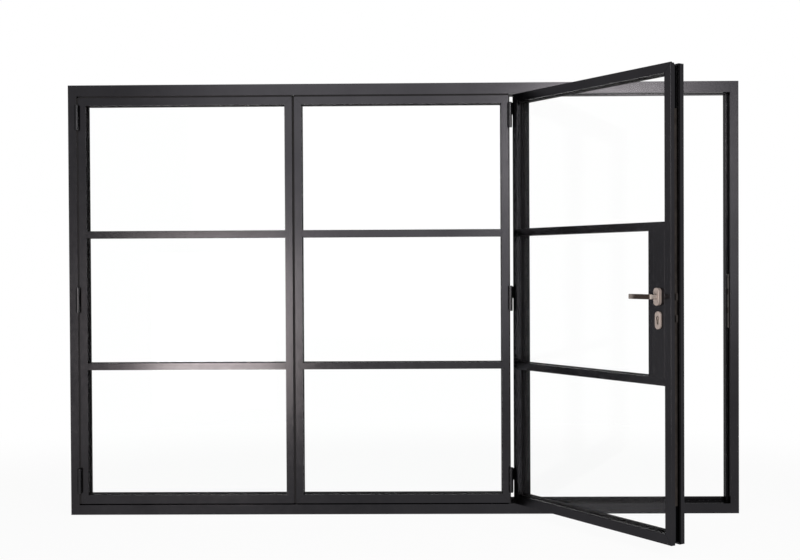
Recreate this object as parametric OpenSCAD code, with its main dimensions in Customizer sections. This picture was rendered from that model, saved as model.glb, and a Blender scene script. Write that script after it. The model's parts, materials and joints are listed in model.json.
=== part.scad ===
// Aluminium folding door with three glazed leaves in an outer frame.
// Two leaves fold towards the left jamb, and the access leaf on the right swings from the second leaf.
// X runs along the frame, Y goes from the outside face to the inside, Z is up.
// The origin is the middle of the underside of the sill. Sizes are in millimetres.

/* [Frame] */
// Overall width of the frame
frame_w = 3260; // [2900:10:3600]
// Overall height of the frame
frame_h = 2100; // [2000:10:2400]
// Depth of the frame from its outside face to its inside face
frame_d = 96; // [94:1:110]
// Width of a jamb's outside face
jamb_face = 41; // [36:1:60]
// Height of the head's outside face
head_face = 54; // [45:1:70]
// Height of the sill's outside face
sill_face = 48; // [40:1:60]
// Depth of the outer step, in front of the inner stop
step_depth = 50; // [48:1:56]
// How far a jamb's inner stop stands past its face
jamb_stop = 9; // [4:1:11]
// How far the head's inner stop stands past its face
head_stop = 3; // [1:0.5:3]
// Height of the sill's upstand behind the leaves
upstand_h = 17; // [10:1:25]
// Thickness of the sill's upstand
upstand_t = 12; // [8:1:13]
// Width of the running groove in the head and the sill
track_w = 12; // [10:1:16]
// Depth of the running groove in the head
track_depth = 12; // [8:1:20]
// Depth of the guide groove in the sill
guide_depth = 6; // [4:1:12]

// Radius of the pin that carries a guide roller of the folding leaves
guide_pin_r = 4; // [3:0.5:4.5]
// Clearance of a guide roller in its groove
guide_clear = 0.5; // [0.3:0.1:1]
// Distance from the access leaf's hinge joint to the guide rollers
guide_inset = 45; // [30:1:120]

/* [Leaves] */
// Thickness of a leaf
leaf_t = 76; // [70:1:78]
// Face width of a stile
stile_face = 36; // [32:1:60]
// Face height of a top rail
top_rail_face = 38; // [32:1:60]
// Face height of a bottom rail
bottom_rail_face = 43; // [34:1:80]
// Height of a glazing bar's face
bar_face = 33.5; // [28:0.5:50]
// Gap between the left jamb and the first leaf
hinge_gap = 9; // [8:0.5:12]
// Gap between two leaves
joint_gap = 11; // [10:0.5:14]
// Gap between the access leaf and the right jamb, when closed
lock_gap = 18; // [16:1:24]
// Gap over a leaf
top_gap = 8; // [8:1:14]
// Gap under a leaf
bottom_gap = 6; // [5:1:12]
// Angle by which the access leaf stands open
open_angle = 56.8; // [0:0.1:170]

/* [Leaf profile] */
// Depth of the hardware groove in a leaf's outer edge
edge_groove_depth = 10; // [6:1:12]
// Width of the hardware groove
edge_groove_w = 25; // [23:1:28]
// Depth from the outside face to the hardware groove
edge_lip = 22; // [18:1:26]
// Depth of a leaf's outside glazing flange
flange_depth = 20; // [18:1:28]
// How far the glazing rebate goes into a rail, stile or bar
rebate = 12; // [10:1:12]
// Thickness of a glazing seal between glass and metal
seal_t = 3; // [2:0.5:5]
// Thickness of the sealed double glass
glass_t = 24; // [20:1:28]
// Clearance between the edge of the glass and the rebate
glass_edge_gap = 2; // [1:0.5:3]
// How far a glazing seal shows past the metal
seal_lip = 1.5; // [0.5:0.5:3]

/* [Edge seals] */
// How far the seal on top of the access leaf stands out
door_seal_h = 3; // [2:0.5:3]
// How far the second leaf's seal stands out towards the access leaf
joint_seal_h = 5; // [2:0.5:5]
// Slit between the two seals that meet where the folding leaves join
seal_slit = 0.5; // [0.3:0.1:1]
// Thickness of an edge seal
edge_seal_t = 6; // [4:1:10]
// How far an edge seal lies behind the outside face
edge_seal_back = 3; // [1:1:6]

/* [Hinges] */
// Distance of a hinge axis in front of the leaf's face
hinge_proud = 12; // [11:0.5:14]
// Radius of a hinge knuckle
knuckle_r = 10.5; // [8:0.5:10.5]
// Height of a whole hinge
hinge_h = 116; // [90:2:140]
// Radius of a hinge pin
hinge_pin_r = 5; // [4:0.5:6]
// Radial clearance of a hinge pin
pin_clear = 0.05; // [0.02:0.01:0.1]
// Gap between the two knuckles of a hinge
knuckle_gap = 0.5; // [0.3:0.1:1]
// Thickness of a hinge plate
hinge_plate_t = 4; // [3:0.5:4]
// How far a hinge plate reaches behind the face
hinge_plate_d = 20; // [14:1:20]
// Radius of the cap on each end of a hinge pin
hinge_cap_r = 9.5; // [7:0.5:10]
// Thickness of that cap
hinge_cap_t = 3; // [2:0.5:5]
// Distance from the top of a leaf to the middle of its top hinge
top_hinge_drop = 96; // [80:1:160]
// Height of the middle of the bottom hinge over the bottom of a leaf
bottom_hinge_rise = 114; // [90:1:200]
// Height of the middle hinge over the bottom of a leaf
middle_hinge_rise = 998; // [800:1:1200]

/* [Lock and handle] */
// Width of the lock panel between the two bars of the access leaf
lock_panel_w = 60; // [56:1:90]
// Height of the handle's axis over the bottom of the leaf
handle_rise = 1024; // [900:1:1150]
// Distance from the leaf's lock edge to the handle's axis
backset = 68; // [66:1:72]
// Distance from the handle's axis down to the cylinder's axis
lock_centres = 90; // [85:1:110]
// Width of a rose and of an escutcheon
rose_w = 31; // [28:1:38]
// Height of a rose and of an escutcheon
rose_h = 74; // [66:1:80]
// Thickness of a rose
rose_t = 18; // [10:1:20]
// Thickness of an escutcheon
escutcheon_t = 9; // [7:1:12]
// Radius of a lever's neck
neck_r = 8; // [6:0.5:10]
// Distance from the leaf's face to the back of a lever's grip
grip_reach = 42; // [38:1:55]
// Length of a lever from its axis to its tip
lever_l = 124; // [100:1:140]
// Height of a lever's grip
grip_h = 21; // [17:1:24]
// Thickness of a lever's grip
grip_t = 11; // [8:1:14]
// Radius of the corners at a lever's tip
grip_corner_r = 3; // [1:0.5:6]
// Width across the flats of the square spindle
spindle_w = 8; // [7:0.5:9]
// Radius of the hole for the spindle in the lock panel
spindle_hole_r = 11; // [8:0.5:13]
// Running clearance of the neck in its rose
neck_clear = 0.05; // [0.02:0.01:0.1]
// Radius of the round part of the cylinder
cylinder_r = 8.5; // [8:0.5:9]
// Width of the flat part of the cylinder
cylinder_web_w = 10; // [8:0.5:12]
// Height of the whole cylinder
cylinder_h = 33; // [30:0.5:34]
// How far the cylinder's end lies behind the face of an escutcheon
cylinder_sink = 4; // [1:0.5:5]
// Clearance round the cylinder
cylinder_clear = 0.4; // [0.2:0.1:1]
// Thickness of the lock's edge plate
edge_plate_t = 3; // [2:0.5:4]
// Width of the lock's edge plate
edge_plate_w = 22; // [18:1:22]
// Length of the lock's edge plate
edge_plate_l = 1640; // [1200:10:1700]
// Height of the latch bolt and of the dead bolt
bolt_h = 28; // [20:1:36]
// Thickness of the latch bolt and of the dead bolt
bolt_t = 12; // [8:1:16]
// How far a bolt stands past the edge plate
bolt_proud = 6; // [3:0.5:6]
// Thickness of the keep plate on the jamb
keep_t = 3; // [2:0.5:4]
// Width of the keep plate
keep_w = 24; // [20:1:26]
// Length of the keep plate
keep_l = 260; // [200:5:320]

/* [Hidden] */
$fn = 48;

leaf_count = 3;
// Index of the access leaf
DOOR = leaf_count - 1;
// Small overlap that keeps a cut from leaving a skin
cut = 1;

leaf_w = (frame_w - 2 * jamb_face - hinge_gap - DOOR * joint_gap - lock_gap) / leaf_count;
leaf_z = sill_face + bottom_gap;
leaf_h = frame_h - head_face - top_gap - leaf_z;
sight_w = leaf_w - 2 * stile_face;
sight_h = leaf_h - top_rail_face - bottom_rail_face;
pane_h = (sight_h - 2 * bar_face) / 3;
glass_y = flange_depth + seal_t;
bead_y = glass_y + glass_t + seal_t;
bead_d = leaf_t - bead_y;
lock_side_w = lock_panel_w + bar_face;
hinge_rises = [bottom_hinge_rise, middle_hinge_rise, leaf_h - top_hinge_drop];
track_y = (step_depth + leaf_t) / 2;
handle_x = leaf_w - backset;
cylinder_z = handle_rise - lock_centres;
door_axis_x = leaf_x(DOOR) - joint_gap / 2;
half_knuckle = (hinge_h - knuckle_gap) / 2;

frame_colour = [0.17, 0.165, 0.18];
leaf_colour = [0.2, 0.195, 0.21];
seal_colour = [0.03, 0.03, 0.03];
metal_colour = [0.72, 0.68, 0.65];

// Left edge of leaf i, with all leaves closed
function leaf_x(i) = jamb_face + hinge_gap + i * (leaf_w + joint_gap);
// Bottom of pane k, counted from the lowest one
function pane_z(k) = bottom_rail_face + k * (pane_h + bar_face);
// The middle pane of the access leaf is narrower, because of the lock panel
function pane_w(i, k) = (i == DOOR && k == 1) ? sight_w - lock_side_w : sight_w;

// Moves a shape from the frame's outside left bottom corner to the origin's place
module in_frame() {
    translate([-frame_w / 2, -frame_d / 2, 0]) children();
}

// Places a shape given in the coordinates of leaf i
module at_leaf(i) {
    in_frame()
    if (i == DOOR)
        translate([door_axis_x, -hinge_proud, leaf_z])
        rotate([0, 0, -open_angle])
        translate([joint_gap / 2, hinge_proud, 0])
        children();
    else
        translate([leaf_x(i), 0, leaf_z]) children();
}

// Extrudes an outline drawn in X and Z through the depth from y to y + d
module through(y, d) {
    translate([0, y + d, 0]) rotate([90, 0, 0]) linear_extrude(d) children();
}

// Outer frame

module jamb_section() {
    square([jamb_face, frame_d]);
    translate([0, step_depth]) square([jamb_face + jamb_stop, frame_d - step_depth]);
}

module jamb_left() {
    color(frame_colour) in_frame()
    linear_extrude(frame_h) jamb_section();
}

module jamb_right() {
    color(frame_colour) in_frame()
    translate([frame_w, 0, 0]) mirror([1, 0, 0])
    linear_extrude(frame_h) jamb_section();
}

module head() {
    color(frame_colour) in_frame()
    difference() {
        union() {
            translate([jamb_face, 0, frame_h - head_face])
            cube([frame_w - 2 * jamb_face, step_depth, head_face]);
            translate([jamb_face + jamb_stop, step_depth, frame_h - head_face - head_stop])
            cube([frame_w - 2 * (jamb_face + jamb_stop), frame_d - step_depth, head_face + head_stop]);
        }
        translate([0, track_y - track_w / 2, frame_h - head_face - head_stop - cut])
        cube([frame_w, track_w, track_depth + cut]);
    }
}

module sill() {
    color(frame_colour) in_frame()
    difference() {
        union() {
            translate([jamb_face, 0, 0])
            cube([frame_w - 2 * jamb_face, step_depth, sill_face]);
            translate([jamb_face + jamb_stop, step_depth, 0])
            cube([frame_w - 2 * (jamb_face + jamb_stop), frame_d - step_depth, sill_face]);
        }
        translate([0, track_y - track_w / 2, sill_face - guide_depth])
        cube([frame_w, track_w, guide_depth + cut]);
    }
}

module sill_upstand() {
    color(frame_colour) in_frame()
    translate([jamb_face + jamb_stop, frame_d - upstand_t, sill_face])
    cube([frame_w - 2 * (jamb_face + jamb_stop), upstand_t, upstand_h]);
}

module jamb_keep() {
    color(frame_colour) in_frame()
    translate([
        frame_w - jamb_face - keep_t,
        edge_lip + (edge_groove_w - keep_w) / 2,
        leaf_z + handle_rise - lock_centres / 2 - keep_l / 2
    ])
    difference() {
        cube([keep_t, keep_w, keep_l]);
        for (side = [-1, 1])
            translate([
                -cut,
                (keep_w - bolt_t) / 2 - cut,
                keep_l / 2 + side * lock_centres / 2 - bolt_h / 2 - cut
            ])
            cube([keep_t + 2 * cut, bolt_t + 2 * cut, bolt_h + 2 * cut]);
    }
}

// Pin and roller that guide the folding leaves, standing on a rail below a groove of that depth
module guide(gap, groove_depth) {
    cylinder(h = gap + groove_depth - guide_clear, r = guide_pin_r);
    translate([0, 0, gap + guide_clear])
    cylinder(h = groove_depth - 2 * guide_clear, r = track_w / 2 - guide_clear);
}

module track_guides() {
    at_leaf(DOOR - 1) translate([leaf_w - guide_inset, track_y, 0]) {
        translate([0, 0, leaf_h]) guide(top_gap - head_stop, track_depth);
        mirror([0, 0, 1]) guide(bottom_gap, guide_depth);
    }
}

// Rails and stiles

// Section of a rail or stile: X goes from the outer edge inwards, Y from the outside face
module member_section(face) {
    difference() {
        square([face, leaf_t]);
        translate([-cut, edge_lip]) square([edge_groove_depth + cut, edge_groove_w]);
        translate([face - rebate, flange_depth]) square([rebate + cut, leaf_t]);
    }
}

// Elevation of the mitred left stile
module stile_mitre() {
    polygon([
        [0, 0],
        [stile_face, bottom_rail_face],
        [stile_face, leaf_h - top_rail_face],
        [0, leaf_h]
    ]);
}

module stile() {
    intersection() {
        linear_extrude(leaf_h) member_section(stile_face);
        through(0, leaf_t) stile_mitre();
    }
}

// Turns a shape over to a leaf's right edge
module on_right_edge() {
    translate([leaf_w, 0, 0]) mirror([1, 0, 0]) children();
}

module far_stile() {
    on_right_edge() stile();
}

// A rail lies along X, with its outer edge at z = 0 and its glass side up
module rail(face) {
    intersection() {
        translate([leaf_w, 0, 0]) rotate([0, -90, 0]) linear_extrude(leaf_w) member_section(face);
        through(0, leaf_t)
        polygon([[0, 0], [leaf_w, 0], [leaf_w - stile_face, face], [stile_face, face]]);
    }
}

module bottom_rail() {
    rail(bottom_rail_face);
}

module top_rail() {
    translate([0, 0, leaf_h]) mirror([0, 0, 1]) rail(top_rail_face);
}

// Glazing

// One glazing bar, a T section whose web reaches into the rebates of the stiles
module bar() {
    translate([stile_face, 0, 0]) cube([sight_w, flange_depth, bar_face]);
    translate([stile_face - rebate, flange_depth, rebate])
    cube([sight_w + 2 * rebate, leaf_t - flange_depth, bar_face - 2 * rebate]);
}

module bars() {
    for (k = [1, 2]) translate([0, 0, pane_z(k) - bar_face]) bar();
}

// Bars of the access leaf, whose webs fill out to carry the lock panel
module door_bars_shape() {
    for (k = [1, 2]) translate([0, 0, pane_z(k) - bar_face]) {
        bar();
        translate([
            leaf_w - stile_face - lock_side_w + rebate,
            flange_depth,
            k == 1 ? rebate : 0
        ])
        cube([lock_side_w, leaf_t - flange_depth, bar_face - rebate]);
    }
}

// A ring round pane k of leaf i at depth y, between two distances past the edge of the sight opening
module pane_ring(i, k, outer, inner, y, d) {
    translate([stile_face, 0, pane_z(k)])
    through(y, d)
    difference() {
        translate([-outer, -outer]) square([pane_w(i, k) + 2 * outer, pane_h + 2 * outer]);
        translate([-inner, -inner]) square([pane_w(i, k) + 2 * inner, pane_h + 2 * inner]);
    }
}

module beads(i) {
    for (k = [0:2]) pane_ring(i, k, rebate, 0, bead_y, bead_d);
}

module glazing_seals(i) {
    for (k = [0:2], y = [flange_depth, bead_y - seal_t])
        pane_ring(i, k, rebate, -seal_lip, y, seal_t);
}

module glass(i) {
    reach = rebate - glass_edge_gap;
    for (k = [0:2])
        translate([stile_face - reach, glass_y, pane_z(k) - reach])
        cube([pane_w(i, k) + 2 * reach, glass_t, pane_h + 2 * reach]);
}

// Space for the hinges on one edge, where an edge seal stops
module hinge_spaces() {
    for (z = hinge_rises)
        translate([-joint_gap, -cut, z - hinge_h / 2 - cut])
        cube([2 * joint_gap, leaf_t / 2, hinge_h + 2 * cut]);
}

// Soft seal on the left edge of a leaf, standing out by h
module side_seal(h) {
    translate([-h, edge_seal_back, 0]) cube([h, edge_seal_t, leaf_h]);
}

// Soft seal on the top of a leaf, standing out by h
module top_seal(h) {
    translate([0, edge_seal_back, leaf_h]) cube([leaf_w, edge_seal_t, h]);
}

// Seals that fill the joints round the folding leaves, and reach towards the access leaf
module folding_seals() {
    fold_seal_h = (joint_gap - seal_slit) / 2;
    at_leaf(0) {
        top_seal(top_gap);
        difference() {
            side_seal(hinge_gap);
            hinge_spaces();
        }
        on_right_edge() side_seal(fold_seal_h);
    }
    at_leaf(1) {
        top_seal(top_gap);
        side_seal(fold_seal_h);
        on_right_edge()
        difference() {
            side_seal(joint_seal_h);
            hinge_spaces();
        }
    }
}

// Lock side of the access leaf

// Upright bar between the two bars, which carries the glass on its left side
module lock_mullion() {
    translate([leaf_w - stile_face - lock_side_w, 0, pane_z(1)]) {
        cube([bar_face, flange_depth, pane_h]);
        translate([rebate, flange_depth, 0])
        cube([bar_face - rebate, leaf_t - flange_depth, pane_h]);
    }
}

// Outline of the cylinder: a round part over a narrow web
module cylinder_outline(grow) {
    circle(cylinder_r + grow);
    translate([-cylinder_web_w / 2 - grow, cylinder_r - cylinder_h - grow])
    square([cylinder_web_w + 2 * grow, cylinder_h - cylinder_r]);
}

module lock_panel() {
    difference() {
        union() {
            translate([leaf_w - stile_face - lock_panel_w, 0, pane_z(1)])
            cube([lock_panel_w, leaf_t, pane_h]);
            translate([leaf_w - stile_face, flange_depth, pane_z(1)])
            cube([rebate, leaf_t - flange_depth, pane_h]);
        }
        translate([handle_x, 0, handle_rise])
        through(-cut, leaf_t + 2 * cut) circle(spindle_hole_r);
        translate([handle_x, 0, cylinder_z])
        through(-cut, leaf_t + 2 * cut) cylinder_outline(cylinder_clear);
    }
}

// Upright plate with round ends, with its middle at the origin of the plane
module plate_outline() {
    straight = rose_h - rose_w;
    translate([-rose_w / 2, -straight / 2]) square([rose_w, straight]);
    for (side = [-1, 1]) translate([0, side * straight / 2]) circle(rose_w / 2);
}

// The rose that guides a lever's neck, on the outside face
module rose() {
    through(-rose_t, rose_t)
    difference() {
        plate_outline();
        circle(neck_r + neck_clear);
    }
}

// Plate round the cylinder, level with the middle of the cylinder's height
module escutcheon() {
    through(-escutcheon_t, escutcheon_t)
    difference() {
        translate([0, cylinder_r - cylinder_h / 2]) plate_outline();
        cylinder_outline(cylinder_clear);
    }
}

// Turns an outside fitting over to the inside face
module to_inside() {
    translate([0, leaf_t, 0]) mirror([0, 1, 0]) children();
}

module at_handle() {
    translate([handle_x, 0, handle_rise]) children();
}

module at_cylinder() {
    translate([handle_x, 0, cylinder_z]) children();
}

// Elevation of a lever: round at the neck, with a square tip whose corners are rounded
module grip_outline() {
    tip = -lever_l;
    circle(grip_h / 2);
    translate([tip, grip_corner_r - grip_h / 2]) square([lever_l, grip_h - 2 * grip_corner_r]);
    translate([tip + grip_corner_r, -grip_h / 2]) square([lever_l - grip_corner_r, grip_h]);
    for (side = [-1, 1])
        translate([tip + grip_corner_r, side * (grip_h / 2 - grip_corner_r)]) circle(grip_corner_r);
}

// Outside lever: the neck runs from the leaf's face through the rose to the grip
module lever() {
    through(-grip_reach - grip_t / 2, grip_reach + grip_t / 2)
    difference() {
        circle(neck_r);
        square([spindle_w, spindle_w], center = true);
    }
    translate([0, -grip_reach - grip_t, 0])
    difference() {
        through(0, grip_t) grip_outline();
        translate([-spindle_w / 2, grip_t / 2, -spindle_w / 2])
        cube([spindle_w, grip_t, spindle_w]);
    }
}

module spindle() {
    reach = grip_reach + grip_t / 2;
    translate([-spindle_w / 2, -reach, -spindle_w / 2])
    cube([spindle_w, leaf_t + 2 * reach, spindle_w]);
}

module cylinder_body() {
    reach = escutcheon_t - cylinder_sink;
    through(-reach, leaf_t + 2 * reach) cylinder_outline(0);
}

// Edge plate of the lock in the hardware groove, with its latch bolt and dead bolt
module lock_edge() {
    middle = handle_rise - lock_centres / 2;
    floor_x = leaf_w - edge_groove_depth;
    plate_y = edge_lip + (edge_groove_w - edge_plate_w) / 2;
    translate([floor_x, plate_y, middle - edge_plate_l / 2])
    cube([edge_plate_t, edge_plate_w, edge_plate_l]);
    for (side = [-1, 1])
        translate([
            floor_x,
            edge_lip + (edge_groove_w - bolt_t) / 2,
            middle + side * lock_centres / 2 - bolt_h / 2
        ])
        cube([edge_plate_t + bolt_proud, bolt_t, bolt_h]);
}

// Hinges

// One knuckle and its plate, with the hinge axis on Z and the plate towards +Y.
// The plate bears on the leaf or jamb at distance seat from the axis: side -1 is left, side 1 is right.
module knuckle(seat, side) {
    difference() {
        union() {
            cylinder(h = half_knuckle, r = knuckle_r);
            translate([side < 0 ? -seat : seat - hinge_plate_t, 0, 0])
            cube([hinge_plate_t, hinge_proud + hinge_plate_d, half_knuckle]);
        }
        translate([0, 0, -cut]) cylinder(h = half_knuckle + 2 * cut, r = hinge_pin_r + pin_clear);
    }
}

module lower_knuckles(seat) {
    for (z = hinge_rises) translate([0, 0, z - hinge_h / 2]) knuckle(seat, -1);
}

module upper_knuckles(seat) {
    for (z = hinge_rises) translate([0, 0, z + knuckle_gap / 2]) knuckle(seat, 1);
}

// Pins with a cap at each end; the upper cap runs just clear of the knuckle under it
module pins() {
    for (z = hinge_rises) translate([0, 0, z - hinge_h / 2 - hinge_cap_t]) {
        cylinder(h = hinge_h + 2 * hinge_cap_t + knuckle_gap, r = hinge_pin_r);
        cylinder(h = hinge_cap_t, r = hinge_cap_r);
        translate([0, 0, hinge_h + hinge_cap_t + knuckle_gap])
        cylinder(h = hinge_cap_t, r = hinge_cap_r);
    }
}

// Puts a hinge line on the outside, in the gap whose left side is at x
module outside_line(x, gap) {
    in_frame() translate([x + gap / 2, -hinge_proud, leaf_z]) children();
}

// Puts a hinge line on the inside of the joint between the two folding leaves
module fold_line() {
    in_frame() translate([leaf_x(1) - joint_gap / 2, leaf_t + hinge_proud, leaf_z])
    mirror([0, 1, 0]) children();
}

module jamb_hinges() {
    outside_line(jamb_face, hinge_gap) {
        lower_knuckles(hinge_gap / 2);
        upper_knuckles(hinge_gap / 2);
    }
}

module fold_hinges() {
    fold_line() {
        lower_knuckles(joint_gap / 2);
        upper_knuckles(joint_gap / 2);
    }
}

module door_hinges_fixed() {
    outside_line(leaf_x(DOOR) - joint_gap, joint_gap) lower_knuckles(joint_gap / 2);
}

// These turn with the access leaf, so they are given in its coordinates
module door_hinges_moving() {
    at_leaf(DOOR) translate([-joint_gap / 2, -hinge_proud, 0]) upper_knuckles(joint_gap / 2);
}

module hinge_pins() {
    outside_line(jamb_face, hinge_gap) pins();
    fold_line() pins();
    outside_line(leaf_x(DOOR) - joint_gap, joint_gap) pins();
}

head();
sill();
sill_upstand();
jamb_left();
jamb_right();
jamb_keep();
color(leaf_colour) at_leaf(0) top_rail();  // leaf1_top_rail
color(leaf_colour) at_leaf(0) bottom_rail();  // leaf1_bottom_rail
color(leaf_colour) at_leaf(0) stile();  // leaf1_stile_left
color(leaf_colour) at_leaf(0) far_stile();  // leaf1_stile_right
color(leaf_colour) at_leaf(0) bars();  // leaf1_bars
color("white", 0.3) at_leaf(0) glass(0);  // leaf1_glass
color(leaf_colour) at_leaf(0) beads(0);  // leaf1_beads
color(leaf_colour) at_leaf(1) top_rail();  // leaf2_top_rail
color(leaf_colour) at_leaf(1) bottom_rail();  // leaf2_bottom_rail
color(leaf_colour) at_leaf(1) stile();  // leaf2_stile_left
color(leaf_colour) at_leaf(1) far_stile();  // leaf2_stile_right
color(leaf_colour) at_leaf(1) bars();  // leaf2_bars
color("white", 0.3) at_leaf(1) glass(1);  // leaf2_glass
color(leaf_colour) at_leaf(1) beads(1);  // leaf2_beads
color(seal_colour) {  // folding_glazing_seals
        at_leaf(0) glazing_seals(0);
        at_leaf(1) glazing_seals(1);
    }
color(seal_colour) folding_seals();  // folding_edge_seals
color(metal_colour) track_guides();
color(leaf_colour) at_leaf(DOOR) top_rail();  // door_top_rail
color(leaf_colour) at_leaf(DOOR) bottom_rail();  // door_bottom_rail
color(leaf_colour) at_leaf(DOOR) stile();  // door_stile_hinge
color(leaf_colour) at_leaf(DOOR) far_stile();  // door_stile_lock
color(leaf_colour) at_leaf(DOOR) door_bars_shape();  // door_bars
color(leaf_colour) at_leaf(DOOR) lock_mullion();  // door_lock_mullion
color(leaf_colour) at_leaf(DOOR) lock_panel();  // door_lock_panel
color("white", 0.3) at_leaf(DOOR) glass(DOOR);  // door_glass
color(leaf_colour) at_leaf(DOOR) beads(DOOR);  // door_beads
color(seal_colour) at_leaf(DOOR) glazing_seals(DOOR);  // door_glazing_seals
color(seal_colour) at_leaf(DOOR) top_seal(door_seal_h);  // door_top_seal
color(metal_colour) at_leaf(DOOR) lock_edge();  // door_lock_edge
color(metal_colour) at_leaf(DOOR) at_handle() {  // door_roses
        rose();
        to_inside() rose();
    }
color(metal_colour) at_leaf(DOOR) at_cylinder() {  // door_escutcheons
        escutcheon();
        to_inside() escutcheon();
    }
color(metal_colour) at_leaf(DOOR) at_cylinder() cylinder_body();  // door_cylinder
color(metal_colour) at_leaf(DOOR) at_handle() lever();  // lever_outside
color(metal_colour) at_leaf(DOOR) at_handle() to_inside() lever();  // lever_inside
color(metal_colour) at_leaf(DOOR) at_handle() spindle();  // lever_spindle
color(leaf_colour) {  // folding_hinges
        jamb_hinges();
        fold_hinges();
    }
color(leaf_colour) door_hinges_fixed();
color(leaf_colour) door_hinges_moving();
color(metal_colour) hinge_pins();
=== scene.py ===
"""Finishes, glass, small fittings, studio light and camera for the aluminium folding door."""

import json
import math

import bmesh
import bpy
from mathutils import Matrix, Vector


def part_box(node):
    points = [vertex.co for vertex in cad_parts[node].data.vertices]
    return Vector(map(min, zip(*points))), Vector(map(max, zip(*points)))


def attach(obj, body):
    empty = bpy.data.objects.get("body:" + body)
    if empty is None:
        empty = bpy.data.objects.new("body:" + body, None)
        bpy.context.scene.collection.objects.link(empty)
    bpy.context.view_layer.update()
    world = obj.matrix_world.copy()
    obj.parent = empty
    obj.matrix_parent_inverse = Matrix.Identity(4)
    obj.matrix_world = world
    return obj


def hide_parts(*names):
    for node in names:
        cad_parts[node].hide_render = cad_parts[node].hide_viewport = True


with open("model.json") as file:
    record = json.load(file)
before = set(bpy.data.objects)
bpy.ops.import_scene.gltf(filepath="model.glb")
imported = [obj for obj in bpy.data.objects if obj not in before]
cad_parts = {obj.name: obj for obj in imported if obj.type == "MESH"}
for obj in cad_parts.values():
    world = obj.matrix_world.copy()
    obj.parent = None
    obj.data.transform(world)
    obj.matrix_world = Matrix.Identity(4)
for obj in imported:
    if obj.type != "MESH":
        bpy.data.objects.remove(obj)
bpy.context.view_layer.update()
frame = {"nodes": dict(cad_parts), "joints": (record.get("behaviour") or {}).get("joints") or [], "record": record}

MM = 0.001
NODES = frame["nodes"]
SLOT_OF = {part["node"]: part["material_slot"] for part in frame["record"]["subparts"]}
BODY_OF = {
    node: body
    for body, members in frame["record"]["behaviour"]["bodies"].items()
    for node in members
}

# The camera: place in metres, angles in degrees, focal length and optical centre in pixels
IMAGE_W, IMAGE_H = 800, 560
CAMERA_PLACE = Vector((0.0542, -5.6862, 1.2058))
CAMERA_YAW, CAMERA_PITCH, CAMERA_ROLL = -0.711, 0.701, -0.292
FOCAL_LENGTH = 1157.87
OPTICAL_CENTRE = (399.62, 281.32)

# Small dimensions of the dressed pieces, in metres
EDGE_ROUND = 0.45 * MM
CORNER_ROUND = 1.3 * MM
FITTING_ROUND = 1.6 * MM
LEVER_ROUND = 3.4 * MM
LOCK_PLATE_T = 3 * MM
# Depth of each grip's front that carries the painted dark reflection
REFLECTION_FACE_T = 1.4 * MM
# Wall thickness of the dark rings that paint the shade inside the cylinder's recesses
SHADE_RING_T = 2.0 * MM
# Depth range of the access leaf's lock stile painted darker: painted shade of the groove in its edge
GROOVE_SHADE_START, GROOVE_SHADE_END = 34 * MM, 55 * MM
GROOVE_SHADE_FADE = 1 * MM
GROOVE_SHADE_FACTOR = 0.2
PANE_T = 4 * MM
SEALANT_W = 4 * MM
SPACER_W = 7 * MM
SHEET_CHAMFER = 0.4 * MM
SCREW_R = 3.6 * MM
SCREW_HEAD_T = 1.2 * MM
PLUG_R = 6.6 * MM
PLUG_T = 0.6 * MM
KEYWAY_W = 2.2 * MM
KEYWAY_H = 9.5 * MM


# The access leaf's place

def swing_of(name):
    return next(joint for joint in frame["joints"] if joint["name"] == name)


def open_place():
    """The turn from the access leaf's closed place to its place at rest."""
    swing = swing_of("access_leaf_swing")
    axis_at = Matrix.Translation(Vector(swing["pos_m"]))
    angle = math.radians(-swing["range_deg"][0])
    turn = Matrix.Rotation(angle, 4, Vector(swing["axis"]))
    return axis_at @ turn @ axis_at.inverted()


STILL = Matrix.Identity(4)
OPENED = open_place()


def place_of(node):
    """The turn that a node of this body has had from the closed door."""
    return STILL if BODY_OF[node] == "frame" else OPENED


def solids_of(node):
    """Lowest and highest corners of each solid in a node, in the closed door."""
    mesh = bmesh.new()
    mesh.from_mesh(NODES[node].data)
    mesh.transform(place_of(node).inverted())
    bmesh.ops.remove_doubles(mesh, verts=mesh.verts, dist=1e-6)
    left, boxes = set(mesh.verts), []
    while left:
        group, edge = set(), {left.pop()}
        while edge:
            group |= edge
            edge = {e.other_vert(v) for v in edge for e in v.link_edges} - group
        left -= group
        boxes.append(corners([v.co for v in group]))
    mesh.free()
    return sorted(boxes, key=lambda box: (round(box[0].z, 4), round(box[0].x, 4), round(box[0].y, 4)))


def corners(points):
    low = Vector([min(p[i] for p in points) for i in range(3)])
    high = Vector([max(p[i] for p in points) for i in range(3)])
    return low, high


# Shader helpers

def material_tree(name):
    made = bpy.data.materials.new(name)
    made.use_nodes = True
    tree = made.node_tree
    return made, tree, tree.nodes["Principled BSDF"], tree.nodes["Material Output"]


def node(tree, kind, **settings):
    made = tree.nodes.new("ShaderNode" + kind)
    for key, value in settings.items():
        setattr(made, key, value)
    return made


def object_coords(tree, stretch=(1, 1, 1)):
    place = node(tree, "TexCoord")
    scaling = node(tree, "Mapping")
    scaling.inputs["Scale"].default_value = stretch
    tree.links.new(place.outputs["Object"], scaling.inputs["Vector"])
    return scaling.outputs["Vector"]


def noise(tree, coords, scale, detail=3.0, rough=0.55):
    made = node(tree, "TexNoise")
    made.inputs["Scale"].default_value = scale
    made.inputs["Detail"].default_value = detail
    made.inputs["Roughness"].default_value = rough
    tree.links.new(coords, made.inputs["Vector"])
    return made.outputs["Fac"]


def ramp(tree, factor, low, high, start=0.35, end=0.65):
    """A smooth change between two colours or two grey values."""
    made = node(tree, "ValToRGB")
    ends = made.color_ramp.elements
    ends[0].position, ends[1].position = start, end
    for stop, value in zip(ends, (low, high)):
        stop.color = (*value, 1) if isinstance(value, tuple) else (value, value, value, 1)
    tree.links.new(factor, made.inputs["Fac"])
    return made.outputs["Color"]


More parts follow.
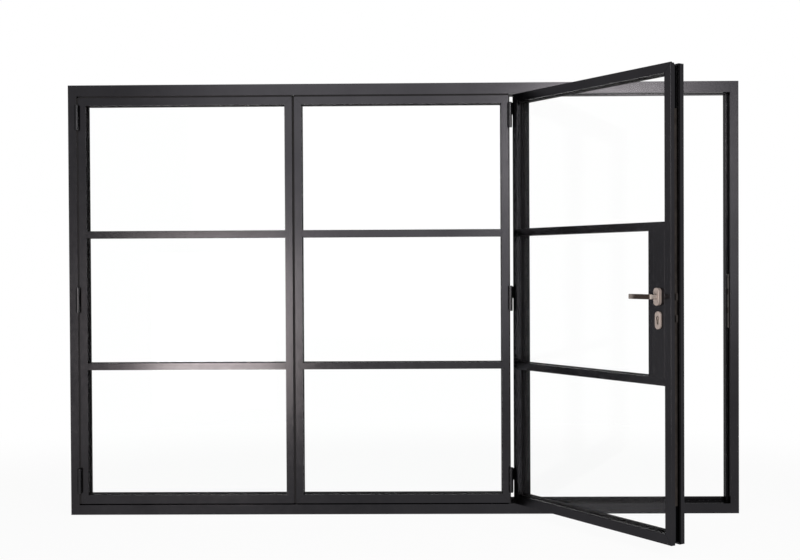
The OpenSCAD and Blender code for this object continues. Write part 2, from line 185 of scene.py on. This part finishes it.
def bump(tree, height, strength, distance, shader, below=None):
    made = node(tree, "Bump")
    made.inputs["Strength"].default_value = strength
    made.inputs["Distance"].default_value = distance
    tree.links.new(height, made.inputs["Height"])
    if below is not None:
        tree.links.new(below, made.inputs["Normal"])
    tree.links.new(made.outputs["Normal"], shader.inputs["Normal"])
    return made.outputs["Normal"]


# Finishes

# The glazing beads' paint is a darker, rougher copy of the leaf paint with less grazing tint: painted shade of the
# glazing rebate
PAINT_GRAZING, SHADED_BEAD_GRAZING = 0.415, 0.35


def inward_depth(tree, coords, start_y):
    """How far a point of the open leaf lies inwards of this depth of the closed leaf."""
    inwards = OPENED.to_3x3() @ Vector((0, 1, 0))
    along = node(tree, "VectorMath", operation="DOT_PRODUCT")
    along.inputs[1].default_value = inwards
    tree.links.new(coords, along.inputs[0])
    depth = node(tree, "Math", operation="SUBTRACT")
    depth.inputs[1].default_value = (OPENED @ Vector((0, start_y, 0))).dot(inwards)
    tree.links.new(along.outputs["Value"], depth.inputs[0])
    return depth.outputs[0]


def paint_groove_shade(tree, coords, colour, start_y, end_y):
    """Painted shade of the groove in the open leaf's edge: the colour darkened over a strip of depth."""
    away = node(tree, "Math", operation="ABSOLUTE")
    tree.links.new(inward_depth(tree, coords, (start_y + end_y) / 2), away.inputs[0])
    fade = node(tree, "MapRange")
    fade.inputs["From Min"].default_value = (end_y - start_y) / 2 - GROOVE_SHADE_FADE
    fade.inputs["From Max"].default_value = (end_y - start_y) / 2
    fade.inputs["To Min"].default_value = GROOVE_SHADE_FACTOR
    tree.links.new(away.outputs[0], fade.inputs["Value"])
    shaded = node(tree, "VectorMath", operation="SCALE")
    tree.links.new(colour, shaded.inputs[0])
    tree.links.new(fade.outputs["Result"], shaded.inputs["Scale"])
    return shaded.outputs["Vector"]


def powder_coat(name, dark, light, rough, grazing=PAINT_GRAZING, groove_shade_band=None):
    """A satin powder coat: faint clouding, fine pebbled skin and slightly uneven gloss; a given strip of depth
    gets painted groove shade.
    """
    made, tree, shader, _ = material_tree(name)
    coords = object_coords(tree)
    cloud = noise(tree, coords, 3.2, detail=4)
    colour = ramp(tree, cloud, dark, light)
    # Painted shade of the edge groove, darkening the colour over a strip of depth
    if groove_shade_band:
        colour = paint_groove_shade(tree, coords, colour, *groove_shade_band)
    tree.links.new(colour, shader.inputs["Base Color"])
    gloss = noise(tree, coords, 38, detail=5, rough=0.6)
    tree.links.new(ramp(tree, gloss, rough - 0.025, rough + 0.025), shader.inputs["Roughness"])
    shader.inputs["Metallic"].default_value = 1
    shader.inputs["Specular Tint"].default_value = (grazing, grazing, grazing, 1)
    skin = noise(tree, coords, 620, detail=2)
    ripple = noise(tree, coords, 95, detail=2)
    first = bump(tree, skin, 0.07, 0.15 * MM, shader)
    bump(tree, ripple, 0.025, 0.3 * MM, shader, below=first)
    return made


def rubber(name):
    made, tree, shader, _ = material_tree(name)
    coords = object_coords(tree)
    dust = noise(tree, coords, 55, detail=5, rough=0.7)
    tree.links.new(ramp(tree, dust, (0.010, 0.0095, 0.0105), (0.016, 0.0155, 0.0165)), shader.inputs["Base Color"])
    tree.links.new(ramp(tree, dust, 0.62, 0.78), shader.inputs["Roughness"])
    shader.inputs["Specular IOR Level"].default_value = 0.1
    bump(tree, noise(tree, coords, 480), 0.15, 0.2 * MM, shader)
    return made


def satin_metal(name, dark, light, rough, metal=1.0, brush=(4, 4, 1), grain=420):
    """Brushed and plated metal, with hairlines across the stretched direction."""
    made, tree, shader, _ = material_tree(name)
    hair = noise(tree, object_coords(tree, brush), grain, detail=6, rough=0.65)
    patch = noise(tree, object_coords(tree), 26, detail=4)
    tree.links.new(ramp(tree, patch, dark, light), shader.inputs["Base Color"])
    tree.links.new(ramp(tree, hair, rough - 0.05, rough + 0.06), shader.inputs["Roughness"])
    shader.inputs["Metallic"].default_value = metal
    bump(tree, hair, 0.12, 0.08 * MM, shader)
    return made


def lever_nickel_painted_reflection(name):
    """Satin nickel, with a painted dark reflection on the front of each grip, weaker towards the free end and gone
    near the neck.
    """
    made, tree, shader, _ = material_tree(name)
    (low, _), = solids_of("lever_outside")
    (_, high), = solids_of("lever_inside")
    face_start = (high.y - low.y) / 2 - REFLECTION_FACE_T
    coords = object_coords(tree)
    away = node(tree, "Math", operation="ABSOLUTE")
    tree.links.new(inward_depth(tree, coords, (low.y + high.y) / 2), away.inputs[0])
    face = node(tree, "MapRange", interpolation_type="SMOOTHSTEP")
    face.inputs["From Min"].default_value = face_start
    face.inputs["From Max"].default_value = face_start + REFLECTION_FACE_T / 2
    tree.links.new(away.outputs[0], face.inputs["Value"])
    spread = grip_spread(tree, coords, low.x, high.x)
    # Painted reflection: weaker towards the grip's free end, none at the neck where the nickel shows bright
    reflection_spread = node(tree, "Math", operation="MULTIPLY")
    tree.links.new(ramp(tree, spread, 0.55, 1.0, start=0.12, end=0.28), reflection_spread.inputs[0])
    tree.links.new(ramp(tree, spread, 1.0, 0.0, start=0.895, end=0.94), reflection_spread.inputs[1])
    dark_reflection_weight = node(tree, "Math", operation="MULTIPLY")
    tree.links.new(face.outputs["Result"], dark_reflection_weight.inputs[0])
    tree.links.new(reflection_spread.outputs[0], dark_reflection_weight.inputs[1])
    clouded = node(tree, "Math", operation="MULTIPLY_ADD")
    clouded.inputs[1].default_value = 0.12
    tree.links.new(noise(tree, coords, 60, detail=4), clouded.inputs[0])
    tree.links.new(dark_reflection_weight.outputs[0], clouded.inputs[2])
    # From the nickel colour to the dark colour of the painted reflection, with faint clouding
    tree.links.new(
        ramp(tree, clouded.outputs[0], (0.48, 0.42, 0.385), (0.044, 0.033, 0.028), start=0.0, end=1.06),
        shader.inputs["Base Color"],
    )
    # The painted reflection also makes the grip's front glossier and fully metallic
    tree.links.new(ramp(tree, dark_reflection_weight.outputs[0], 0.30, 0.18, start=0, end=1), shader.inputs["Roughness"])
    tree.links.new(ramp(tree, dark_reflection_weight.outputs[0], 0.4, 1.0, start=0, end=1), shader.inputs["Metallic"])
    return made


def grip_spread(tree, coords, free_end, neck_end):
    """0 at the grip's free end and 1 at its neck, along the open leaf."""
    along_leaf = OPENED.to_3x3() @ Vector((1, 0, 0))
    reach = node(tree, "VectorMath", operation="DOT_PRODUCT")
    reach.inputs[1].default_value = along_leaf
    tree.links.new(coords, reach.inputs[0])
    spread = node(tree, "MapRange")
    spread.inputs["From Min"].default_value = (OPENED @ Vector((free_end, 0, 0))).dot(along_leaf)
    spread.inputs["From Max"].default_value = (OPENED @ Vector((neck_end, 0, 0))).dot(along_leaf)
    tree.links.new(reach.outputs["Value"], spread.inputs["Value"])
    return spread.outputs["Result"]


def clear_glass(name):
    """Float glass that lets the lamps' light through, with faint smears in its gloss."""
    made, tree, shader, output = material_tree(name)
    shader.inputs["Base Color"].default_value = (0.998, 1.0, 0.999, 1)
    shader.inputs["Transmission Weight"].default_value = 1
    shader.inputs["IOR"].default_value = 1.1
    smear = noise(tree, object_coords(tree, (1, 1, 0.35)), 5, detail=6, rough=0.7)
    tree.links.new(ramp(tree, smear, 0.0, 0.012, start=0.45, end=0.8), shader.inputs["Roughness"])
    light = node(tree, "LightPath")
    through = node(tree, "BsdfTransparent")
    through.inputs["Color"].default_value = (0.985, 0.99, 0.988, 1)
    mix = node(tree, "MixShader")
    either = node(tree, "Math", operation="MAXIMUM")
    tree.links.new(light.outputs["Is Shadow Ray"], either.inputs[0])
    tree.links.new(light.outputs["Is Diffuse Ray"], either.inputs[1])
    tree.links.new(either.outputs[0], mix.inputs["Fac"])
    tree.links.new(shader.outputs["BSDF"], mix.inputs[1])
    tree.links.new(through.outputs["BSDF"], mix.inputs[2])
    tree.links.new(mix.outputs["Shader"], output.inputs["Surface"])
    return made


FINISHES = {
    "frame_paint": powder_coat("frame_paint", (0.0240, 0.0231, 0.0254), (0.0289, 0.0279, 0.0306), 0.20),
    "leaf_paint": powder_coat("leaf_paint", (0.0245, 0.0237, 0.0261), (0.0294, 0.0285, 0.0311), 0.20),
    "hinge_paint": powder_coat("hinge_paint", (0.0208, 0.0206, 0.0221), (0.0257, 0.0255, 0.0273), 0.24),
    "seal_rubber": rubber("seal_rubber"),
    "glass": clear_glass("glass"),
    "handle_metal": satin_metal("handle_metal", (0.325, 0.272, 0.249), (0.390, 0.331, 0.304), 0.30, metal=0.35),
    # Steel darkened well below its own colour: painted shade for the lock plate deep in the leaf's edge groove,
    # shared by its screws and the keep on the jamb
    "lock_steel": satin_metal("lock_steel", (0.028, 0.0235, 0.0215), (0.044, 0.0375, 0.0345), 0.38),
    "cylinder_brass": satin_metal("cylinder_brass", (0.42, 0.34, 0.29), (0.52, 0.43, 0.37), 0.28, metal=0.4),
}
# Darker copy of the leaf paint: painted shade on the glazing beads, and the spacer bars' own dark colour
SHADED_BEAD_AND_SPACER_PAINT = powder_coat("shaded_bead_and_spacer_paint", (0.0105, 0.0101, 0.0112), (0.0130, 0.0126, 0.0137), 0.42, SHADED_BEAD_GRAZING)
STILE_LOW, STILE_HIGH = solids_of("door_stile_lock")[0]
# The lock stile's paint, with painted shade of its edge groove
LOCK_STILE_PAINT_GROOVE_SHADE = powder_coat(
    "lock_stile_paint_groove_shade", (0.0245, 0.0237, 0.0261), (0.0294, 0.0285, 0.0311), 0.20,
    groove_shade_band=(STILE_LOW.y + GROOVE_SHADE_START, STILE_LOW.y + GROOVE_SHADE_END),
)
# Lever finish: satin nickel with a painted dark reflection on the grips' fronts
LEVER_NICKEL_PAINTED_REFLECTION = lever_nickel_painted_reflection("lever_nickel_painted_reflection")
# Near-black metal for the painted shade of the keyways
KEYWAY_SHADE = satin_metal("keyway_shade", (0.010, 0.006, 0.004), (0.022, 0.014, 0.009), 0.45)
SPECIAL = {
    "leaf1_beads": SHADED_BEAD_AND_SPACER_PAINT,
    "leaf2_beads": SHADED_BEAD_AND_SPACER_PAINT,
    "door_beads": SHADED_BEAD_AND_SPACER_PAINT,
    "door_stile_lock": LOCK_STILE_PAINT_GROOVE_SHADE,
    "lever_outside": LEVER_NICKEL_PAINTED_REFLECTION,
    "lever_inside": LEVER_NICKEL_PAINTED_REFLECTION,
}


def paint_node(name):
    piece = NODES[name]
    finish = SPECIAL.get(name) or FINISHES[SLOT_OF[name]]
    if not piece.material_slots:
        piece.data.materials.append(finish)
    for place in piece.material_slots:
        place.material = finish


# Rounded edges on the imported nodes

ROUND_OF_SLOT = {
    "frame_paint": EDGE_ROUND,
    "leaf_paint": EDGE_ROUND,
    "hinge_paint": 0.8 * MM,
    "handle_metal": FITTING_ROUND,
    "lock_steel": 0.4 * MM,
    "cylinder_brass": 0.3 * MM,
    "seal_rubber": 0.5 * MM,
}
ROUND_OF_NODE = {
    "door_stile_lock": CORNER_ROUND,
    "door_lock_panel": CORNER_ROUND,
    "door_lock_mullion": CORNER_ROUND,
    "lever_outside": LEVER_ROUND,
    "lever_inside": LEVER_ROUND,
}


def round_edges(piece, radius, segments=2):
    weld = piece.modifiers.new("join", "WELD")
    weld.merge_threshold = 0.002 * MM
    soften = piece.modifiers.new("round", "BEVEL")
    soften.width = radius
    soften.segments = segments
    soften.limit_method = "ANGLE"
    soften.angle_limit = math.radians(40)
    soften.use_clamp_overlap = True
    even = piece.modifiers.new("shading", "WEIGHTED_NORMAL")
    even.keep_sharp = False
    even.weight = 100


# Mesh helpers for the added pieces

def add_box(mesh, low, high):
    made = bmesh.ops.create_cube(mesh, size=1)["verts"]
    middle, size = (low + high) / 2, high - low
    for vert in made:
        vert.co = middle + Vector(c * s for c, s in zip(vert.co, size))


def add_ring(mesh, low, high, outer, inner, depth):
    """A rectangular ring in X and Z, between two insets from a box, over a span of Y."""
    loops = []
    for y in depth:
        for inset in (outer, inner):
            loops.append([
                mesh.verts.new((x, y, z))
                for x, z in (
                    (low.x + inset, low.z + inset),
                    (high.x - inset, low.z + inset),
                    (high.x - inset, high.z - inset),
                    (low.x + inset, high.z - inset),
                )
            ])
    out_front, in_front, out_back, in_back = loops
    for one, other in ((in_front, out_front), (out_front, out_back), (out_back, in_back), (in_back, in_front)):
        for i in range(4):
            j = (i + 1) % 4
            mesh.faces.new((one[i], one[j], other[j], other[i]))


def make_piece(name, mesh, material, body, place=STILL, smooth=False):
    bmesh.ops.recalc_face_normals(mesh, faces=mesh.faces)
    mesh.transform(place)
    data = bpy.data.meshes.new(name)
    mesh.to_mesh(data)
    mesh.free()
    if smooth:
        data.shade_smooth()
    data.materials.append(material)
    piece = bpy.data.objects.new(name, data)
    bpy.context.scene.collection.objects.link(piece)
    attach(piece, body)
    return piece


# Sealed glass units

def glaze(leaf, body):
    """Two sheets in each unit, with a black spacer and sealant between their edges."""
    glass_node = leaf + "_glass"
    place = place_of(glass_node)
    sheets, spacers, sealant = bmesh.new(), bmesh.new(), bmesh.new()
    for low, high in solids_of(glass_node):
        for y in (low.y, high.y - PANE_T):
            add_box(sheets, Vector((low.x, y, low.z)), Vector((high.x, y + PANE_T, high.z)))
        depth = (low.y + PANE_T, high.y - PANE_T)
        add_ring(sealant, low, high, 0.2 * MM, SEALANT_W, depth)
        add_ring(spacers, low, high, SEALANT_W, SEALANT_W + SPACER_W, depth)
    bmesh.ops.bevel(sheets, geom=sheets.edges[:], offset=SHEET_CHAMFER, segments=1, affect="EDGES")
    panes = make_piece(leaf + "_panes", sheets, FINISHES["glass"], body, place)
    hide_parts(glass_node)
    make_piece(leaf + "_spacers", spacers, SHADED_BEAD_AND_SPACER_PAINT, body, place)
    make_piece(leaf + "_sealant", sealant, FINISHES["seal_rubber"], body, place)


# Small fittings

def add_disc_with_recess(mesh, place, radius, thickness, recess_r, recess_depth, sides=6, steps=24):
    """A low screw head with a chamfered rim and a socket of a few sides, its face towards +Z of place."""
    def loop(r, z, polygon=False):
        points = []
        for i in range(steps):
            angle = math.tau * i / steps
            reach = r
            if polygon:
                half = math.pi / sides
                reach = r * math.cos(half) / math.cos((angle % (2 * half)) - half)
            points.append(mesh.verts.new(place @ Vector((reach * math.cos(angle), reach * math.sin(angle), z))))
        return points

    loops = [
        loop(radius, 0),
        loop(radius, thickness * 0.6),
        loop(radius * 0.86, thickness),
        loop(recess_r, thickness, True),
        loop(recess_r, thickness - recess_depth, True),
    ]
    for one, other in zip(loops, loops[1:]):
        for i in range(steps):
            j = (i + 1) % steps
            mesh.faces.new((one[i], one[j], other[j], other[i]))
    mesh.faces.new(loops[-1])
    mesh.faces.new(reversed(loops[0]))


def lock_plate_screws():
    """Screws along the lock's edge plate in the access leaf, and in the keep on the jamb."""
    screws = bmesh.new()
    plate_low, plate_high = lock_plate_box()
    length, screw_count, end_margin = plate_high.z - plate_low.z, 8, 0.03
    middle_y = (plate_low.y + plate_high.y) / 2
    towards_edge = Matrix.Rotation(math.radians(90), 4, "Y")
    for i in range(screw_count):
        z = plate_low.z + end_margin + i * (length - 2 * end_margin) / (screw_count - 1)
        spot = Matrix.Translation((plate_low.x + LOCK_PLATE_T, middle_y, z)) @ towards_edge
        add_disc_with_recess(screws, spot, SCREW_R, SCREW_HEAD_T, SCREW_R * 0.5, SCREW_HEAD_T * 0.8)
    make_piece("lock_plate_screws", screws, FINISHES["lock_steel"], "access_leaf", OPENED)

    keep_screws = bmesh.new()
    low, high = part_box("jamb_keep")
    towards_leaf = Matrix.Rotation(math.radians(-90), 4, "Y")
    for z in (low.z + end_margin / 2, (low.z + high.z) / 2, high.z - end_margin / 2):
        spot = Matrix.Translation((low.x, (low.y + high.y) / 2, z)) @ towards_leaf
        add_disc_with_recess(keep_screws, spot, SCREW_R, SCREW_HEAD_T, SCREW_R * 0.5, SCREW_HEAD_T * 0.8)
    make_piece("keep_screws", keep_screws, FINISHES["lock_steel"], "frame")


def lock_plate_box():
    """The box of the lock's plate, without the bolts that stand out of it."""
    return max(solids_of("door_lock_edge"), key=lambda box: box[1].z - box[0].z)


def keyways():
    """The plug of the cylinder on each side, with a thin dark sheet on it as painted shade of the keyway."""
    (low, high), = solids_of("door_cylinder")
    centre_x = (low.x + high.x) / 2
    radius = (high.x - low.x) / 2
    centre_z = high.z - radius
    plugs, slots = bmesh.new(), bmesh.new()
    for face_y, outwards in ((low.y, -1), (high.y, 1)):
        turn = Matrix.Rotation(math.radians(90 * -outwards), 4, "X")
        spot = Matrix.Translation((centre_x, face_y, centre_z)) @ turn
        add_plug(plugs, spot)
        # Thin dark sheet on the plug's face: painted shade of the keyway slot
        y = sorted((face_y, face_y + outwards * 0.15 * MM))
        add_box(
            slots,
            Vector((centre_x - KEYWAY_W / 2, y[0], centre_z - KEYWAY_H / 2)),
            Vector((centre_x + KEYWAY_W / 2, y[1], centre_z + KEYWAY_H / 2)),
        )
    make_piece("cylinder_plugs", plugs, FINISHES["cylinder_brass"], "access_leaf", OPENED)
    make_piece("keyways", slots, KEYWAY_SHADE, "access_leaf", OPENED)


def cylinder_recess_shade():
    """Dark rubber rings in the openings of the two escutcheons, round the sunk ends of the cylinder: painted shade
    on the recess walls.
    """
    (low, high), = solids_of("door_cylinder")
    plates = solids_of("door_escutcheons")
    shade_rings = bmesh.new()
    outline = cylinder_outline(low, high)
    for face_y, end_y in ((min(box[0].y for box in plates), low.y), (max(box[1].y for box in plates), high.y)):
        face_y += (end_y - face_y) * 0.08
        loops = [
            [shade_rings.verts.new((x + grow * dx, y, z + grow * dz)) for x, z, dx, dz in outline]
            for y, grow in ((face_y, 0.35 * MM), (end_y, 0.35 * MM), (end_y, 0.35 * MM - SHADE_RING_T), (face_y, 0.35 * MM - SHADE_RING_T))
        ]
        for one, other in zip(loops, loops[1:] + loops[:1]):
            for i in range(len(outline)):
                j = (i + 1) % len(outline)
                shade_rings.faces.new((one[i], one[j], other[j], other[i]))
    make_piece("cylinder_recess_shade", shade_rings, FINISHES["seal_rubber"], "access_leaf", OPENED)


def cylinder_outline(low, high, steps=36):
    """Points of the cylinder's outline with the outward direction at each, as x, z, dx, dz."""
    radius = (high.x - low.x) / 2
    middle_x, middle_z = (low.x + high.x) / 2, high.z - radius
    half_web = 5 * MM
    start = math.asin(half_web / radius)
    points = []
    for i in range(steps + 1):
        angle = start + (math.tau - 2 * start) * i / steps
        dx, dz = -math.sin(angle), -math.cos(angle)
        points.append((middle_x + radius * dx, middle_z + radius * dz, dx, dz))
    points.append((middle_x + half_web, low.z, 1, -1))
    points.append((middle_x - half_web, low.z, -1, -1))
    return points


def add_plug(mesh, place, steps=32):
    """A raised round plug in two halves, one on each side of the keyway."""
    half_slot = KEYWAY_W / 2
    for side in (-1, 1):
        start = math.asin(half_slot / PLUG_R)
        outline = []
        for i in range(steps + 1):
            angle = start + (math.pi - 2 * start) * i / steps
            outline.append((side * math.sin(angle) * PLUG_R, math.cos(angle) * PLUG_R))
        lower = [mesh.verts.new(place @ Vector((x, y, 0))) for x, y in outline]
        upper = [mesh.verts.new(place @ Vector((x, y, PLUG_T))) for x, y in outline]
        mesh.faces.new(lower)
        mesh.faces.new(upper)
        count = len(outline)
        for i in range(count):
            j = (i + 1) % count
            mesh.faces.new((lower[i], lower[j], upper[j], upper[i]))


# Studio

def ray_kind(tree):
    """1 for rays that see the background: from the camera, in reflections and through glass."""
    light = node(tree, "LightPath")
    first = node(tree, "Math", operation="MAXIMUM")
    second = node(tree, "Math", operation="MAXIMUM")
    tree.links.new(light.outputs["Is Camera Ray"], first.inputs[0])
    tree.links.new(light.outputs["Is Glossy Ray"], first.inputs[1])
    tree.links.new(first.outputs[0], second.inputs[0])
    tree.links.new(light.outputs["Is Transmission Ray"], second.inputs[1])
    return second.outputs[0]


AMBIENT = 0.06


def make_world():
    world = bpy.data.worlds.new("studio")
    world.use_nodes = True
    tree = world.node_tree
    background = tree.nodes["Background"]
    background.inputs["Color"].default_value = (1, 1, 1, 1)
    level = node(tree, "MapRange")
    level.inputs["To Min"].default_value = AMBIENT
    level.inputs["To Max"].default_value = 1
    tree.links.new(ray_kind(tree), level.inputs["Value"])
    tree.links.new(level.outputs["Result"], background.inputs["Strength"])
    bpy.context.scene.world = world


FLOOR_SIZE = 40
FLOOR_GLOW = 0.95
FADE_START, FADE_END = 1.6, 3.4


def make_floor():
    """A pale floor that keeps the door's soft shadow and fades into the background."""
    mesh = bmesh.new()
    half = FLOOR_SIZE / 2
    mesh.faces.new([mesh.verts.new((x, y, -0.5 * MM)) for x, y in ((-half, -half), (half, -half), (half, half), (-half, half))])
    data = bpy.data.meshes.new("floor")
    mesh.to_mesh(data)
    mesh.free()
    made, tree, shader, output = material_tree("floor")
    shader.inputs["Base Color"].default_value = (0.82, 0.82, 0.82, 1)
    shader.inputs["Roughness"].default_value = 0.9
    shader.inputs["Specular IOR Level"].default_value = 0
    dimmed = node(tree, "MixShader")
    dimmed.inputs["Fac"].default_value = FLOOR_GLOW
    bright = node(tree, "Emission")
    white = node(tree, "Emission")
    tree.links.new(shader.outputs["BSDF"], dimmed.inputs[1])
    tree.links.new(bright.outputs["Emission"], dimmed.inputs[2])
    place = object_coords(tree, (0.75, 1, 1))
    far = node(tree, "VectorMath", operation="LENGTH")
    tree.links.new(place, far.inputs[0])
    fade = node(tree, "MapRange", interpolation_type="SMOOTHSTEP")
    fade.inputs["From Min"].default_value = FADE_START
    fade.inputs["From Max"].default_value = FADE_END
    tree.links.new(far.outputs["Value"], fade.inputs["Value"])
    seen = node(tree, "MixShader")
    tree.links.new(fade.outputs["Result"], seen.inputs["Fac"])
    tree.links.new(dimmed.outputs["Shader"], seen.inputs[1])
    tree.links.new(white.outputs["Emission"], seen.inputs[2])
    chosen = node(tree, "MixShader")
    tree.links.new(ray_kind(tree), chosen.inputs["Fac"])
    tree.links.new(shader.outputs["BSDF"], chosen.inputs[1])
    tree.links.new(seen.outputs["Shader"], chosen.inputs[2])
    tree.links.new(chosen.outputs["Shader"], output.inputs["Surface"])
    floor = bpy.data.objects.new("floor", data)
    floor.data.materials.append(made)
    bpy.context.scene.collection.objects.link(floor)


DOOR_MIDDLE = Vector((0, 0, 1.05))


def add_lamp(name, place, width, height, level, colour=(1, 1, 1), target=DOOR_MIDDLE):
    """A softbox that gives a white card at the target about this level."""
    data = bpy.data.lights.new(name, "AREA")
    data.shape = "RECTANGLE"
    data.size, data.size_y = width, height
    data.color = colour
    data.energy = level * (math.pi * (place - target).length) ** 2
    lamp = bpy.data.objects.new(name, data)
    lamp.location = place
    lamp.rotation_mode = "QUATERNION"
    lamp.rotation_quaternion = (target - place).to_track_quat("-Z", "Y")
    bpy.context.scene.collection.objects.link(lamp)


KEY_COLOUR = (1.0, 0.96, 0.92)
FILL_COLOUR = (1.0, 0.91, 0.84)


def make_lamps():
    add_lamp("key", Vector((1.66, -4.0, 2.12)), 1.15, 1.1, 0.34, KEY_COLOUR)
    add_lamp("fill", Vector((-1.62, -4.0, 0.68)), 1.02, 1.3, 0.50, FILL_COLOUR)
    add_lamp("wall", Vector((0.55, -6.1, 2.28)), 5.6, 3.66, 0.30)
    add_lamp("overhead", Vector((0.75, -1.1, 4.4)), 1.0, 1.0, 0.17)


def make_camera():
    yaw, pitch, roll = map(math.radians, (CAMERA_YAW, CAMERA_PITCH, CAMERA_ROLL))
    forward = Vector((math.sin(yaw) * math.cos(pitch), math.cos(yaw) * math.cos(pitch), -math.sin(pitch)))
    right = Vector((math.cos(yaw), -math.sin(yaw), 0))
    up = right.cross(forward)
    rolled_right = math.cos(roll) * right + math.sin(roll) * up
    rolled_up = -math.sin(roll) * right + math.cos(roll) * up
    data = bpy.data.cameras.new("camera")
    data.sensor_fit = "HORIZONTAL"
    data.lens = FOCAL_LENGTH / IMAGE_W * data.sensor_width
    data.shift_x = (IMAGE_W / 2 - OPTICAL_CENTRE[0]) / IMAGE_W
    data.shift_y = (OPTICAL_CENTRE[1] - IMAGE_H / 2) / IMAGE_W
    data.clip_end = 200
    camera = bpy.data.objects.new("camera", data)
    turn = Matrix((rolled_right, rolled_up, -forward)).transposed().to_4x4()
    camera.matrix_world = Matrix.Translation(CAMERA_PLACE) @ turn
    bpy.context.scene.collection.objects.link(camera)
    bpy.context.scene.camera = camera


make_camera()
make_world()
make_floor()
make_lamps()
bpy.context.scene.view_settings.view_transform = "Standard"

for name in NODES:
    paint_node(name)
    radius = ROUND_OF_NODE.get(name) or ROUND_OF_SLOT.get(SLOT_OF[name])
    if radius:
        round_edges(NODES[name], radius, segments=3 if SLOT_OF[name] == "handle_metal" else 2)

glaze("leaf1", "frame")
glaze("leaf2", "frame")
glaze("door", "access_leaf")
lock_plate_screws()
keyways()
# Painted shade in the cylinder's recesses
cylinder_recess_shade()
